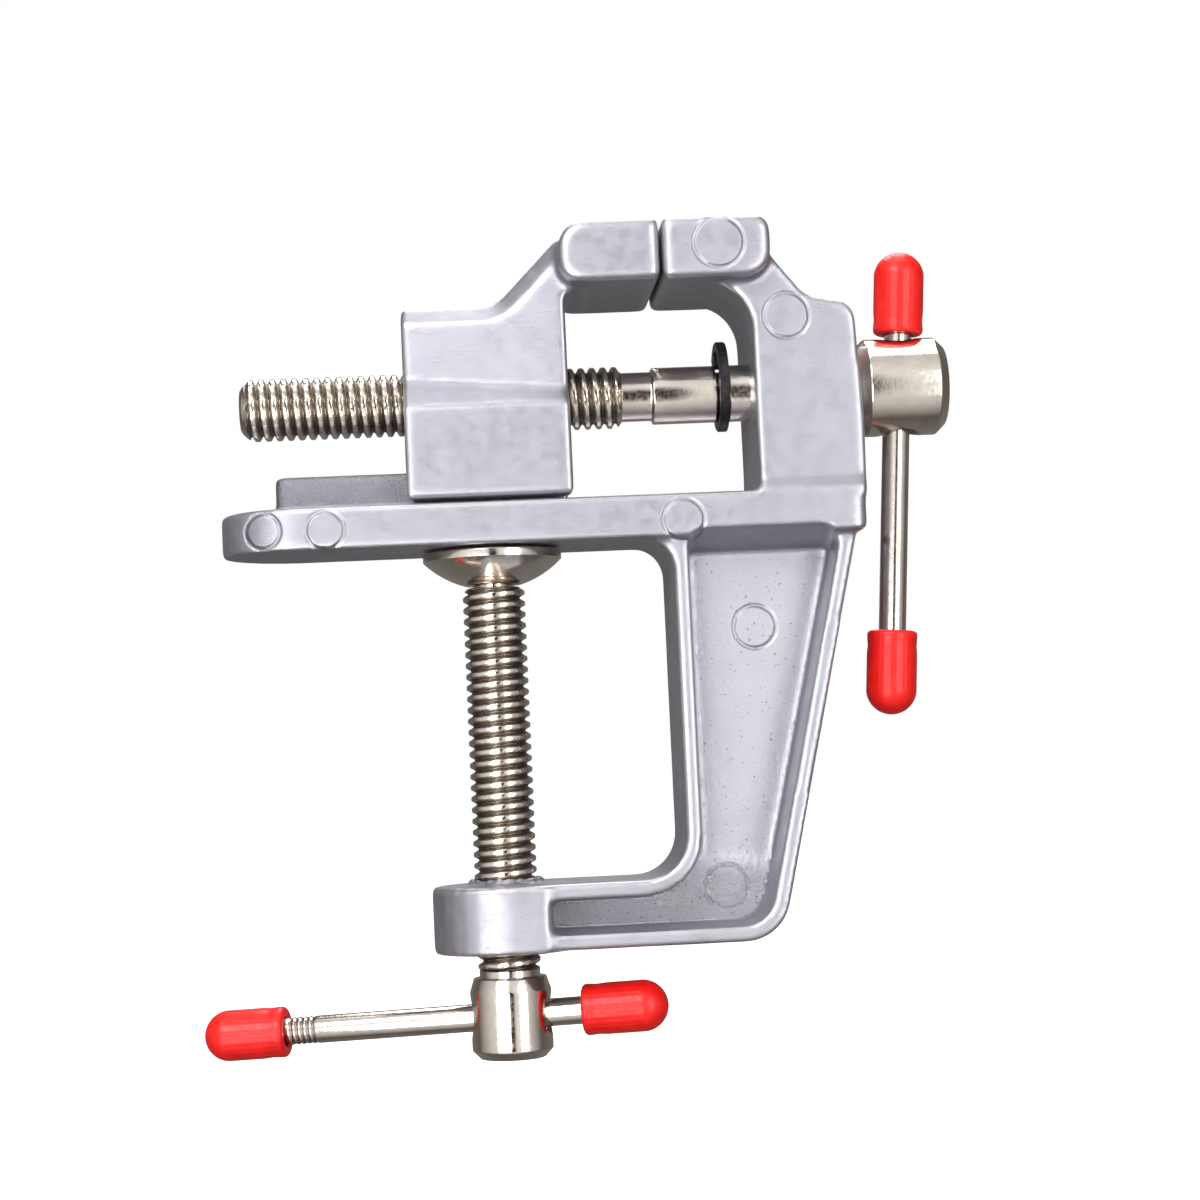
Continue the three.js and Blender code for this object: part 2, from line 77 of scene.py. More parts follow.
class Graph:
    """A material's node tree, with short calls for the nodes that the materials below share."""

    def __init__(self, name):
        self.material = bpy.data.materials.new(name)
        self.material.use_nodes = True
        self.tree = self.material.node_tree
        self.shader = next(n for n in self.tree.nodes if n.type == "BSDF_PRINCIPLED")
        coordinates = self.add("ShaderNodeTexCoord")
        scale = self.add("ShaderNodeVectorMath", operation="SCALE")
        self.link(coordinates.outputs["Object"], scale.inputs[0])
        scale.inputs["Scale"].default_value = 1 / MM
        self.position = scale.outputs[0]
        separate = self.add("ShaderNodeSeparateXYZ")
        self.link(self.position, separate.inputs[0])
        self.x, self.y, self.z = separate.outputs

    def add(self, kind, **settings):
        node = self.tree.nodes.new(kind)
        for key, value in settings.items():
            setattr(node, key, value)
        return node

    def link(self, source, target):
        self.tree.links.new(source, target)

    def feed(self, value, target):
        if isinstance(value, (int, float)):
            target.default_value = value
        else:
            self.link(value, target)

    def math(self, operation, a, b=0.0, clamp=False):
        node = self.add("ShaderNodeMath", operation=operation, use_clamp=clamp)
        self.feed(a, node.inputs[0])
        self.feed(b, node.inputs[1])
        return node.outputs[0]

    def stretched(self, x, y, z):
        node = self.add("ShaderNodeVectorMath", operation="MULTIPLY")
        self.link(self.position, node.inputs[0])
        node.inputs[1].default_value = (x, y, z)
        return node.outputs[0]

    def noise(self, scale, detail=2.0, vector=None, roughness=0.5):
        node = self.add("ShaderNodeTexNoise")
        self.link(vector or self.position, node.inputs["Vector"])
        node.inputs["Scale"].default_value = scale
        node.inputs["Detail"].default_value = detail
        node.inputs["Roughness"].default_value = roughness
        return node.outputs["Fac"]

    def attribute(self, name):
        return self.add("ShaderNodeAttribute", attribute_name=name).outputs["Fac"]

    def ramp(self, value, low, high, to_low=0.0, to_high=1.0):
        node = self.add("ShaderNodeMapRange", interpolation_type="SMOOTHSTEP")
        self.feed(value, node.inputs["Value"])
        for key, number in (("From Min", low), ("From Max", high), ("To Min", to_low), ("To Max", to_high)):
            node.inputs[key].default_value = number
        return node.outputs["Result"]

    def mix(self, share, a, b):
        node = self.add("ShaderNodeMix", data_type="RGBA")
        self.feed(share, node.inputs[0])
        for value, target in ((a, node.inputs[6]), (b, node.inputs[7])):
            if isinstance(value, tuple):
                target.default_value = (*value, 1.0)
            else:
                self.link(value, target)
        return node.outputs[2]

    def bump(self, height, depth_mm, normal=None):
        """A bump whose height of 1 is depth_mm deep."""
        node = self.add("ShaderNodeBump")
        node.inputs["Strength"].default_value = 1.0
        node.inputs["Distance"].default_value = depth_mm * MM
        self.link(height, node.inputs["Height"])
        if normal:
            self.link(normal, node.inputs["Normal"])
        return node.outputs["Normal"]

    def set(self, **values):
        for key, value in values.items():
            socket = self.shader.inputs[key.replace("_", " ")]
            if isinstance(value, tuple):
                socket.default_value = (*value, 1.0)
            elif isinstance(value, (int, float)):
                socket.default_value = value
            else:
                self.link(value, socket)
        return self.material


def ring_marks(graph, marks):
    """Depth of the round marks that ejector pins leave, a groove round a slightly raised disc.
    Each mark is (x, z, radius), on the side facing -Y."""
    wobble = graph.math("MULTIPLY", graph.math("SUBTRACT", graph.noise(0.9), 0.5), 0.2)
    total = 0.0
    for centre_x, centre_z, radius in marks:
        across = graph.math("POWER", graph.math("SUBTRACT", graph.x, centre_x), 2.0)
        up = graph.math("POWER", graph.math("SUBTRACT", graph.z, centre_z), 2.0)
        distance = graph.math("ADD", graph.math("SQRT", graph.math("ADD", across, up)), wobble)
        off = graph.math("ABSOLUTE", graph.math("SUBTRACT", distance, radius))
        groove = graph.ramp(off, 0.0, 0.42, 1.0, 0.0)
        disc = graph.ramp(distance, radius - 0.5, radius - 0.1, 0.3, 0.0)
        total = graph.math("ADD", total, graph.math("SUBTRACT", groove, disc))
    front = graph.math("LESS_THAN", graph.y, -1.0)
    return graph.math("MULTIPLY", total, front)


def cast_aluminium(name, marks):
    """Die-cast aluminium, its rounded edges painted paler as a painted highlight, rough in the arm's pocket,
    and painted paler low in that pocket as painted light. The casting with pin marks is the frame, whose rail
    is rough and painted darker as painted shade, and whose pin marks have painted shade in their grooves."""
    graph = Graph(name)
    pocket, edge = graph.attribute("pocket"), graph.attribute("edge")
    # the lower part of the arm's pocket floor; below it takes a painted-light lightening and coarse bumps
    arm = graph.math("MULTIPLY", pocket, graph.ramp(graph.z, -44.0, -39.0, 1.0, 0.12))

    mottle = graph.ramp(graph.noise(0.22, 3.0), 0.35, 0.65)
    base = graph.mix(mottle, (0.365, 0.36, 0.405), (0.39, 0.385, 0.43))
    base = graph.mix(graph.math("MULTIPLY", pocket, 0.6), base, (0.42, 0.41, 0.445))
    # painted highlight: the rounded edges are painted paler
    base = graph.mix(graph.math("MULTIPLY", edge, 0.55), base, (0.62, 0.615, 0.63))
    # painted light: the arm's pocket floor is painted paler towards its low end
    base = graph.mix(graph.math("MULTIPLY", arm, 0.7), base, (0.60, 0.585, 0.62))
    pits = graph.ramp(graph.noise(2.1, 1.0), 0.25, 0.31, 1.0, 0.0)
    pit_share = graph.math("MULTIPLY", pits, graph.math("MULTIPLY", pocket, 0.7))
    base = graph.mix(pit_share, base, (0.12, 0.12, 0.13))

    grain = graph.noise(5.5, 3.0, roughness=0.65)
    coarse = graph.math("MULTIPLY", graph.noise(1.7, 4.0, roughness=0.7), arm)
    scratches = graph.ramp(graph.noise(1.0, 1.0, graph.stretched(0.25, 1.0, 7.0)), 0.66, 0.72)
    normal = graph.bump(grain, 0.022)
    normal = graph.bump(coarse, 0.6, normal)
    normal = graph.bump(graph.math("SUBTRACT", 1.0, scratches), 0.012, normal)
    if marks:
        before_jaws = graph.math("LESS_THAN", graph.x, 10.0)
        rail = graph.math("MULTIPLY", before_jaws, graph.ramp(graph.z, 5.5, 6.2))
        # painted shade: the rail, set back behind the beam's front, is painted darker
        base = graph.mix(graph.math("MULTIPLY", rail, 0.75), base, (0.15, 0.145, 0.16))
        rail_grain = graph.math("MULTIPLY", graph.noise(2.4, 3.0, roughness=0.7), rail)
        normal = graph.bump(rail_grain, 0.25, normal)
        rings = ring_marks(graph, marks)
        normal = graph.bump(graph.math("SUBTRACT", 1.0, rings), 0.15, normal)
        # painted shade: the grooves of the pin marks are painted darker
        base = graph.mix(graph.math("MULTIPLY", rings, 0.22, clamp=True), base, (0.14, 0.14, 0.15))

    rough = graph.ramp(graph.noise(0.6, 4.0), 0.3, 0.7, 0.36, 0.48)
    rough = graph.math("SUBTRACT", rough, graph.math("MULTIPLY", edge, 0.1), clamp=True)
    return graph.set(Base_Color=base, Metallic=0.82, Roughness=rough, Normal=normal)


def nickel_plate(name):
    """Bright nickel, rougher in the roots of a thread, where painted shade makes it dark brown."""
    graph = Graph(name)
    root = graph.attribute("root")
    tone = graph.ramp(graph.noise(0.35, 3.0), 0.35, 0.65)
    base = graph.mix(tone, (0.74, 0.67, 0.59), (0.82, 0.75, 0.67))
    # painted shade: the roots of the thread are painted dark brown
    base = graph.mix(graph.math("MULTIPLY", root, 0.88), base, (0.10, 0.075, 0.055))
    streaks = graph.noise(1.0, 2.0, graph.stretched(2.2, 2.2, 2.2))
    rough = graph.ramp(streaks, 0.3, 0.7, 0.10, 0.19)
    rough = graph.math("ADD", rough, graph.math("MULTIPLY", root, 0.22), clamp=True)
    normal = graph.bump(graph.noise(2.4, 2.0), 0.006)
    return graph.set(Base_Color=base, Metallic=1.0, Roughness=rough, Normal=normal)


def black_oxide(name):
    graph = Graph(name)
    tone = graph.ramp(graph.noise(1.2, 3.0), 0.35, 0.65)
    base = graph.mix(tone, (0.016, 0.016, 0.018), (0.034, 0.033, 0.035))
    rough = graph.ramp(graph.noise(2.0, 3.0), 0.3, 0.7, 0.28, 0.42)
    normal = graph.bump(graph.noise(4.0), 0.01)
    return graph.set(Base_Color=base, Metallic=0.6, Roughness=rough, Normal=normal)


def red_vinyl(name):
    """Soft dipped plastic: an even red, with a fine skin and a soft sheen."""
    graph = Graph(name)
    tone = graph.ramp(graph.noise(0.5, 3.0), 0.35, 0.65)
    base = graph.mix(tone, (0.70, 0.007, 0.005), (0.80, 0.012, 0.008))
    rough = graph.ramp(graph.noise(1.6, 3.0), 0.3, 0.7, 0.30, 0.42)
    normal = graph.bump(graph.noise(3.2, 3.0), 0.014)
    return graph.set(
        Base_Color=base,
        Roughness=rough,
        Normal=normal,
        Subsurface_Weight=0.12,
        Subsurface_Scale=0.0006,
        Specular_IOR_Level=0.4,
    )


def pale_floor(name):
    graph = Graph(name)
    base = graph.mix(graph.ramp(graph.noise(0.01, 2.0), 0.3, 0.7), (0.92, 0.92, 0.92), (0.94, 0.94, 0.94))
    return graph.set(Base_Color=base, Roughness=0.8, Emission_Color=(1.0, 1.0, 1.0), Emission_Strength=0.75)


# ---- mesh helpers ----


def mesh_object(name, bm, material, body, nodes, sharp=32):
    """The mesh, drawn in millimetres, as an object in metres that rides on a body and stands for CAD
    nodes."""
    bmesh.ops.recalc_face_normals(bm, faces=bm.faces)
    mesh = bpy.data.meshes.new(name)
    bm.to_mesh(mesh)
    bm.free()
    mesh.transform(Matrix.Scale(MM, 4))
    return dressed(name, mesh, material, body, nodes, sharp)


def dressed(name, mesh, material, body, nodes, sharp):
    mesh.polygons.foreach_set("use_smooth", [True] * len(mesh.polygons))
    if sharp:
        mesh.set_sharp_from_angle(angle=math.radians(sharp))
    mesh.materials.clear()
    mesh.materials.append(material)
    piece = bpy.data.objects.new(name, mesh)
    bpy.context.scene.collection.objects.link(piece)
    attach(piece, body)
    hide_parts(*nodes)
    return piece


def rounded(corners, steps=5):
    """Points of a turned profile through (radius, height, corner radius), with each corner rounded."""
    points = []
    for i, (r, h, fillet) in enumerate(corners):
        corner = Vector((r, h))
        if not fillet:
            points.append((r, h))
            continue
        before = (Vector(corners[i - 1][:2]) - corner).normalized()
        after = (Vector(corners[i + 1][:2]) - corner).normalized()
        half = before.angle(after) / 2
        reach = fillet / math.tan(half)
        centre = corner + (before + after).normalized() * (fillet / math.sin(half))
        start, end = corner + before * reach - centre, corner + after * reach - centre
        turn = start.angle_signed(end)
        for step in range(steps + 1):
            offset = Matrix.Rotation(-turn * step / steps, 2) @ start
            points.append(tuple(centre + offset))
    return points


def turned(bm, profile, segments, place, shape=None):
    """Adds a turned surface through (radius, height) points to bm. shape(radius, height, angle) may change
    a point's radius, and returns it with the value of the attribute root."""
    root = bm.verts.layers.float.get("root") or bm.verts.layers.float.new("root")
    rings = []
    for r, h in profile:
        if r < 1e-6:
            rings.append([bm.verts.new(place @ Vector((0, 0, h)))])
            continue
        ring = []
        for i in range(segments):
            angle = 2 * math.pi * i / segments
            radius, depth = shape(r, h, angle) if shape else (r, 0.0)
            vertex = bm.verts.new(place @ Vector((radius * math.cos(angle), radius * math.sin(angle), h)))
            vertex[root] = depth
            ring.append(vertex)
        rings.append(ring)
    for low, high in zip(rings, rings[1:]):
        for i in range(segments):
            j = (i + 1) % segments
            corners = [low[i % len(low)], low[j % len(low)], high[j % len(high)], high[i % len(high)]]
            unique = list(dict.fromkeys(corners))
            if len(unique) > 2:
                bm.faces.new(unique)
    return bm


def cut(bm, cutter):
    """bm with the closed mesh cutter taken away from it."""
    objects = []
    for source in (bm, cutter):
        bmesh.ops.recalc_face_normals(source, faces=source.faces)
        mesh = bpy.data.meshes.new("scratch")
        source.to_mesh(mesh)
        source.free()
        piece = bpy.data.objects.new("scratch", mesh)
        bpy.context.scene.collection.objects.link(piece)
        objects.append(piece)
    whole, tool = objects
    modifier = whole.modifiers.new("cut", "BOOLEAN")
    modifier.object, modifier.operation, modifier.solver = tool, "DIFFERENCE", "EXACT"
    result = bmesh.new()
    result.from_mesh(whole.evaluated_get(bpy.context.evaluated_depsgraph_get()).to_mesh())
    for piece in objects:
        mesh = piece.data
        bpy.data.objects.remove(piece)
        bpy.data.meshes.remove(mesh)
    return result


def axis_frame(origin, direction):
    """A frame at origin whose Z axis points along direction."""
    rotation = Vector(direction).normalized().to_track_quat("Z", "Y").to_matrix().to_4x4()
    return Matrix.Translation(origin) @ rotation


# ---- castings ----

PINS_ON_FRAME = [
    (23.9, 2.0, 2.6),
    (-20.7, 2.4, 2.4),
    (-28.4, 2.6, 2.2),
    (29.7, 36.4, 3.2),
    (38.2, 27.4, 2.9),
    (33.1, -11.4, 2.75),
    (27.9, -44.2, 2.8),
]


def casting(name, node, body, material, voxel, finish):
    """A die casting: the CAD mesh with its edges rounded and the unevenness of cast metal."""
    mesh = frame["nodes"][node].data.copy()
    mesh.transform(Matrix.Scale(1 / MM, 4))
    piece = bpy.data.objects.new("scratch", mesh)
    bpy.context.scene.collection.objects.link(piece)
    remesh = piece.modifiers.new("remesh", "REMESH")
    remesh.mode, remesh.voxel_size = "VOXEL", voxel
    depsgraph = bpy.context.evaluated_depsgraph_get()
    fine = bpy.data.meshes.new_from_object(piece.evaluated_get(depsgraph))
    bpy.data.objects.remove(piece)

    count = len(fine.vertices)
    before = np.empty(count * 3, np.float32)
    fine.vertices.foreach_get("co", before)
    before = before.reshape(-1, 3).astype(float)
    edges = np.empty(len(fine.edges) * 2, np.int32)
    fine.edges.foreach_get("vertices", edges)
    edges = edges.reshape(-1, 2)
    degree = np.bincount(edges.ravel(), minlength=count)[:, None]

    def neighbours(values):
        total = np.zeros_like(values)
        for a, b in ((0, 1), (1, 0)):
            for column in range(values.shape[1]):
                total[:, column] += np.bincount(edges[:, a], values[edges[:, b], column], count)
        return total / degree

    smooth = before
    for _ in range(round(1.1 / voxel ** 2)):
        smooth = smooth + 0.5 * (neighbours(smooth) - smooth)
    fine.vertices.foreach_set("co", smooth.astype(np.float32).ravel())
    fine.update()
    normals = np.empty(count * 3, np.float32)
    fine.vertex_normals.foreach_get("vector", normals)
    normals = normals.reshape(-1, 3).astype(float)

    rounding = -((smooth - before) * normals).sum(1)
    edge = np.clip(rounding / 0.16, 0, 1)
    pocket = finish(smooth, normals)
    waves = np.array([noise.noise(Vector(p) * 0.16) for p in smooth]) * 0.02
    smooth = smooth + normals * waves[:, None]
    fine.vertices.foreach_set("co", smooth.astype(np.float32).ravel())
    for key, values in (("edge", edge), ("pocket", pocket)):
        layer = fine.attributes.new(key, "FLOAT", "POINT")
        layer.data.foreach_set("value", np.asarray(values, np.float32))
    fine.transform(Matrix.Scale(MM, 4))
    return dressed(name, fine, material, body, [node], 0)


def frame_finish(points, normals):
    """Marks the pockets' floors, and roughens the collar round the clamp screw into a burr."""
    x, y, z = points.T
    floor = (np.abs(y) < 3.7) & (np.abs(normals[:, 1]) > 0.75) & (x > 4) & (z < 1) & (z > -50)
    near = np.hypot(x, y)
    burr = (near > 3.9) & (near < 5.6) & (z > -42.4)
    for i in np.nonzero(burr)[0]:
        ragged = noise.noise(Vector(points[i]) * 1.6)
        points[i] += normals[i] * 0.22 * ragged
    return floor.astype(float)


def jaw_finish(points, normals):
    return np.zeros(len(points))


# ---- screws ----

THREAD_PITCH = 1.411
THREAD_RADIUS = 3.97
THREAD_DEPTH = 0.66
MAIN_THREAD_LENGTH = 48.7
MAIN_HEAD_LENGTH = 11.5
MAIN_HOLE_OFFSET = 5.55  # from the left end of the main screw's head
CLAMP_HEAD_LENGTH = 10.2
CLAMP_HOLE_OFFSET = 5.3  # from the lower end of the clamp screw's head
HOLE_RADIUS = 2.4
SHANK_RADIUS = 3.65
RELIEF_RADIUS = 3.15
GROOVE_RADIUS = 2.8
GROOVE_HALF_WIDTH = 0.85


def thread_shape(low, high, point_chamfer, runout):
    """The radius of a right-hand V thread between two heights, with rounded crests. It is chamfered over
    point_chamfer at its low end and runs out over runout at its high end."""
    root = THREAD_RADIUS - THREAD_DEPTH

    def shape(radius, height, angle):
        if not low - 1e-6 <= height <= high + 1e-6:
            return radius, 0.0
        phase = (height / THREAD_PITCH - angle / (2 * math.pi)) % 1
        rise = 1 - abs(2 * phase - 1)
        rise = min(max((rise - 0.08) / 0.62, 0), 1)
        rise = rise * rise * (3 - 2 * rise) * 0.6 + rise * 0.4
        grown = root + THREAD_DEPTH * rise
        grown = min(grown, root - 0.25 + (height - low) * 0.9 if point_chamfer else grown)
        if runout:
            grown = min(grown, root + max(high - height, 0) * 1.2)
        return grown, 1 - rise

    return shape


def thread_stations(low, high):
    count = round((high - low) / THREAD_PITCH * (14))
    return [(THREAD_RADIUS, low + (high - low) * i / count) for i in range(count + 1)]


SEGMENTS = 80


def cross_hole(place, head_radius, hole_radius):
    """A cutter for the hole across a screw's head, countersunk where it comes out."""
    out, wide = head_radius + 1.5, hole_radius + 0.75
    knee = head_radius - 0.95
    profile = rounded(
        [
            (0, -out, 0),
            (wide + 0.9, -out, 0),
            (hole_radius, -knee, 0.5),
            (hole_radius, knee, 0.5),
            (wide + 0.9, out, 0),
            (0, out, 0),
        ]
    )
    return turned(bmesh.new(), profile, 64, place)


def main_screw(material):
    low, high = box_mm("main_screw")
    centre = (low + high) / 2
    place = axis_frame((0, centre.y, centre.z), (1, 0, 0))
    left, right = low.x, high.x
    head_left, head_radius = right - MAIN_HEAD_LENGTH, (high.z - low.z) / 2
    ring_low, ring_high = box_mm("retaining_ring")
    ring_middle = (ring_low.x + ring_high.x) / 2
    groove = (ring_middle - GROOVE_HALF_WIDTH, ring_middle + GROOVE_HALF_WIDTH)
    thread_right = left + MAIN_THREAD_LENGTH
    profile = [
        (0, left),
        (2.6, left),
        *thread_stations(left + 0.3, thread_right),
        *rounded(
            [
                (RELIEF_RADIUS, thread_right + 0.05, 0),
                (RELIEF_RADIUS, thread_right + 3.9, 0.3),
                (SHANK_RADIUS, thread_right + 4.1, 0.15),
                (SHANK_RADIUS, groove[0], 0.12),
                (GROOVE_RADIUS, groove[0], 0.12),
                (GROOVE_RADIUS, groove[1], 0.12),
                (SHANK_RADIUS, groove[1], 0.12),
                (SHANK_RADIUS, head_left, 0.1),
                (head_radius - 1.2, head_left, 0.2),
                (head_radius, head_left + 1.25, 0.5),
                (head_radius, right - 1.25, 0.5),
                (head_radius - 1.2, right, 0.35),
                (0, right, 0),
            ]
        ),
    ]
    shape = thread_shape(left + 0.3, thread_right, True, True)
    screw = turned(bmesh.new(), profile, SEGMENTS, place, shape)
    hole_x = head_left + MAIN_HOLE_OFFSET
    hole = cross_hole(axis_frame((hole_x, centre.y, centre.z), (0, 0, 1)), head_radius, HOLE_RADIUS)
    return mesh_object(
        "main_screw_body", cut(screw, hole), material, "main_screw", ["main_screw"]
    )


def retaining_clip(material):
    """An E-clip: an open ring with three lobes that grip the groove."""
    low, high = box_mm("retaining_ring")
    centre = (low + high) / 2
    outer = (high.z - low.z) / 2
    thickness = high.x - low.x
    points = []
    mouth = math.radians(43)
    steps = 60
    for i in range(steps + 1):
        angle = mouth + (2 * math.pi - 2 * mouth) * i / steps
        points.append((outer * math.cos(angle), outer * math.sin(angle)))
    for i in range(steps + 1):
        angle = 2 * math.pi - mouth - (2 * math.pi - 2 * mouth) * i / steps
        lobe = max(math.cos(3 * (angle - math.pi / 3)), 0) ** 2
        inner = 4.55 - 1.5 * lobe
        points.append((inner * math.cos(angle), inner * math.sin(angle)))
    bm = bmesh.new()
    side = [bm.verts.new((-thickness / 2, y, z)) for y, z in points]
    face = bm.faces.new(side)
    grown = bmesh.ops.extrude_face_region(bm, geom=[face])
    moved = [v for v in grown["geom"] if isinstance(v, bmesh.types.BMVert)]
    bmesh.ops.translate(bm, verts=moved, vec=(thickness, 0, 0))
    bmesh.ops.recalc_face_normals(bm, faces=bm.faces)
    rim = [e for e in bm.edges if e.calc_face_angle(0) > 0.9]
    bmesh.ops.bevel(bm, geom=rim, offset=0.12, segments=2, affect="EDGES", clamp_overlap=True)
    bmesh.ops.translate(bm, verts=bm.verts, vec=centre)
    return mesh_object(
        "retaining_clip", bm, material, "main_screw", ["retaining_ring"]
    )


def clamp_screw(material):
    low, high = box_mm("clamp_screw")
    centre = (low + high) / 2
    pad_low, _ = box_mm("clamp_pad")
    head_radius = (high.x - low.x) / 2
    place = axis_frame((centre.x, centre.y, 0), (0, 0, 1))
    bottom, head_top = low.z, low.z + CLAMP_HEAD_LENGTH
    thread_low, thread_high = head_top + 1.2, pad_low.z - 0.3
    profile = [
        *rounded(
            [
                (0, bottom, 0),
                (head_radius - 1.05, bottom, 0.35),
                (head_radius, bottom + 1.1, 0.5),
                (head_radius, head_top - 1.7, 0.7),
                (head_radius - 0.55, head_top, 0.25),
                (3.85, head_top, 0.1),
                (3.85, thread_low - 0.35, 0),
            ]
        ),
        *thread_stations(thread_low - 0.2, thread_high - 0.05),
        (2.3, thread_high),
        (2.3, high.z - 1.2),
        (2.8, high.z - 0.8),
        (2.2, high.z),
        (0, high.z),
    ]
    shape = thread_shape(thread_low - 0.2, thread_high - 0.05, False, True)
    screw = turned(bmesh.new(), profile, SEGMENTS, place, shape)
    axis = Vector(joints["clamp_bar_slide"]["axis"])
    across = Vector((axis.x, axis.y, 0))
    hole_place = axis_frame((centre.x, centre.y, bottom + CLAMP_HOLE_OFFSET), across)
    hole = cross_hole(hole_place, head_radius, HOLE_RADIUS)
    return mesh_object(
        "clamp_screw_body", cut(screw, hole), material, "clamp_screw", ["clamp_screw"]
    )


def clamp_pad(material):
    """A spun pad: a plain rim, a shallow dome under it, and a lip crimped round the screw's end."""
    low, high = box_mm("clamp_pad")
    centre = (low + high) / 2
    radius, top, bottom = (high.x - low.x) / 2, high.z, low.z
    rim = top - 1.15
    lip = 3.6
    height = rim - bottom
    centre_z = bottom + ((radius ** 2 - lip ** 2) / height + height) / 2
    sphere = math.hypot(lip, centre_z - bottom)
    dome = []
    for step in range(1, 17):
        r = lip + (radius - lip) * step / 16
        dome.append((r, centre_z - math.sqrt(sphere ** 2 - r ** 2)))
    profile = [
        (0, top - 1.6),
        (3.1, top - 1.6),
        *rounded([(3.1, bottom + 0.8, 0), (2.65, bottom + 0.5, 0.1), (2.65, bottom, 0.2), (lip, bottom, 0)]),
        *dome,
        *rounded([(radius, rim, 0), (radius, top, 0.32), (0, top, 0)])[1:],
    ]
    pad = turned(bmesh.new(), profile, SEGMENTS, axis_frame((centre.x, centre.y, 0), (0, 0, 1)))
    return mesh_object("swivel_pad", pad, material, "clamp_pad", ["clamp_pad"])


# ---- sliding bars ----


def sliding_bar(prefix, body, joint, nodes, rod_material, cap_material, ridged):
    """A bar with a domed vinyl cap on each end. nodes are the CAD nodes of the bar, the cap at the far end of
    the joint's axis and the other cap."""
    axis = Vector(joints[joint]["axis"]).normalized()
    low, high = box_mm(nodes[0])
    middle, size = (low + high) / 2, high - low
    longest = max(range(3), key=lambda i: size[i])
    radius = 1.75
    length = (size[longest] - 2 * radius * math.sqrt(1 - axis[longest] ** 2)) / abs(axis[longest])
    half = length / 2
    place = axis_frame(middle, axis)

    stations = [(radius, -half + 0.5)]
    if ridged:  # a few rolled ridges next to the cap at the low end
        start = -half + 9.2
        stations += [(radius, start + i * 0.12) for i in range(32)]
    stations += [(radius, half - 0.5)]

    def ridges(r, height, angle):
        if not ridged or not start <= height <= start + 3.6:
            return r, 0.0
        wave = 0.5 + 0.5 * math.cos(2 * math.pi * (height / 0.72 - angle / (2 * math.pi)))
        return r - 0.13 * wave, wave

    rod = [(0, -half), *rounded([(0, -half, 0), (radius, -half, 0.35), (radius, -half + 0.5, 0)])[1:]]
    rod += stations + [*rounded([(radius, half - 0.5, 0), (radius, half, 0.35), (0, half, 0)])[1:]]
    bm = turned(bmesh.new(), rod, 40, place, ridges)
    mesh_object(prefix + "_rod", bm, rod_material, body, [nodes[0]])

    cap_length, outer, hole = 10.8, 3.25, radius + 0.12
    for name, node, sign in (("_far_cap", nodes[1], 1), ("_near_cap", nodes[2], -1)):
        tip = middle + axis * (half + 2) * sign
        turns = [math.pi / 2 * i / 14 for i in range(1, 15)]
        dome = [(outer * math.cos(t), cap_length - outer + outer * math.sin(t)) for t in turns]
        profile = [
            (0, cap_length - 1.8),
            (hole, cap_length - 1.8),
            *rounded([(hole, cap_length - 1.8, 0), (hole, 0, 0.3), (outer, 0, 0.55), (outer, 1.6, 0)])[1:-1],
            *[(outer, 1.0 + i * 0.5) for i in range(13)],
            (outer, cap_length - outer),
            *dome,
        ]

        def skin(r, height, angle):
            """A slightly rolled mouth, a waist above it, and faint lengthwise ribs."""
            if r < outer - 0.6 or height > cap_length - outer + 0.1:
                return r, 0.0
            waist = 0.09 * math.exp(-(((height - 1.9) / 0.7) ** 2))
            ribs = 0.018 * math.cos(26 * angle) * min(1, height / 1.5)
            return r - 0.03 - waist + ribs, 0.0

        cap = turned(bmesh.new(), profile, 104, axis_frame(tip - axis * cap_length * sign, axis * sign), skin)
        mesh_object(prefix + name, cap, cap_material, body, [node])


# ---- the vise ----

voxel = 0.34
aluminium_frame = cast_aluminium("cast_aluminium_frame", PINS_ON_FRAME)
aluminium_jaw = cast_aluminium("cast_aluminium_jaw", [])
nickel = nickel_plate("nickel_plate")
vinyl = red_vinyl("red_vinyl")

casting("vise_frame", "frame_casting", "frame", aluminium_frame, voxel, frame_finish)
casting("sliding_jaw", "moving_jaw", "moving_jaw", aluminium_jaw, voxel, jaw_finish)
main_screw(nickel)
retaining_clip(black_oxide("black_oxide"))
clamp_screw(nickel)
clamp_pad(nickel)
main_nodes = ["main_handle_bar", "main_cap_upper", "main_cap_lower"]
clamp_nodes = ["clamp_handle_bar", "clamp_cap_right", "clamp_cap_left"]
sliding_bar("main_bar", "main_handle", "main_bar_slide", main_nodes, nickel, vinyl, False)
sliding_bar("clamp_bar", "clamp_handle", "clamp_bar_slide", clamp_nodes, nickel, vinyl, True)


# ---- floor, light and camera ----


def floor():
    """A plain floor, below the lowest point that the clamp screw reaches."""
    clamp_travel = joints["clamp_slide"]["range_m"][1]
    bm = bmesh.new()
    bmesh.ops.create_circle(bm, cap_ends=True, segments=64, radius=4.0)
    mesh = bpy.data.meshes.new("floor")
    bm.to_mesh(mesh)
    bm.free()
    mesh.materials.append(pale_floor("pale_floor"))
    piece = bpy.data.objects.new("floor", mesh)
    piece.location.z = cad_box[0][2] - clamp_travel - 0.006
    piece.visible_diffuse = piece.visible_glossy = False
    bpy.context.scene.collection.objects.link(piece)


